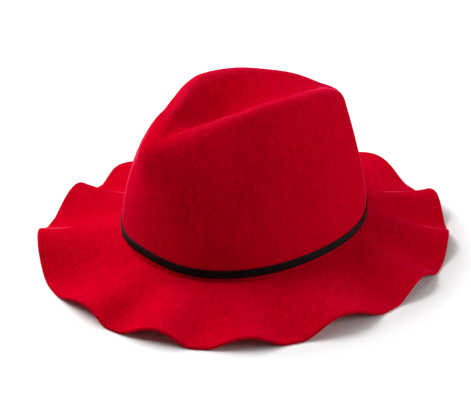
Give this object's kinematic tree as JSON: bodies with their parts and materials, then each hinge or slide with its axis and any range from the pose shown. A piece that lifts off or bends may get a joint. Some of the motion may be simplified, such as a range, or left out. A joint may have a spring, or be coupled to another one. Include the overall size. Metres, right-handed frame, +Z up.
{
  "type": "felt fedora hat with a rippled brim",
  "caption": "Soft felt fedora: tapered crown with one lengthwise teardrop crease, wide rippled brim and a narrow flat band round the foot of the crown.",
  "frame": {"origin": "on the surface the hat rests on, under the middle of the brim", "axes": "+Z up out of the crown, +Y towards the back of the hat along the crease, +X towards one side"},
  "size_m": [0.3035, 0.3349, 0.1357],
  "materials": {
    "red_felt": "matt pressed felt with a short soft nap",
    "black_band": "matt flat strip"
  },
  "bodies": {
    "root": {"felt_body": "red_felt", "hat_band": "black_band"}
  },
  "joints": []
}
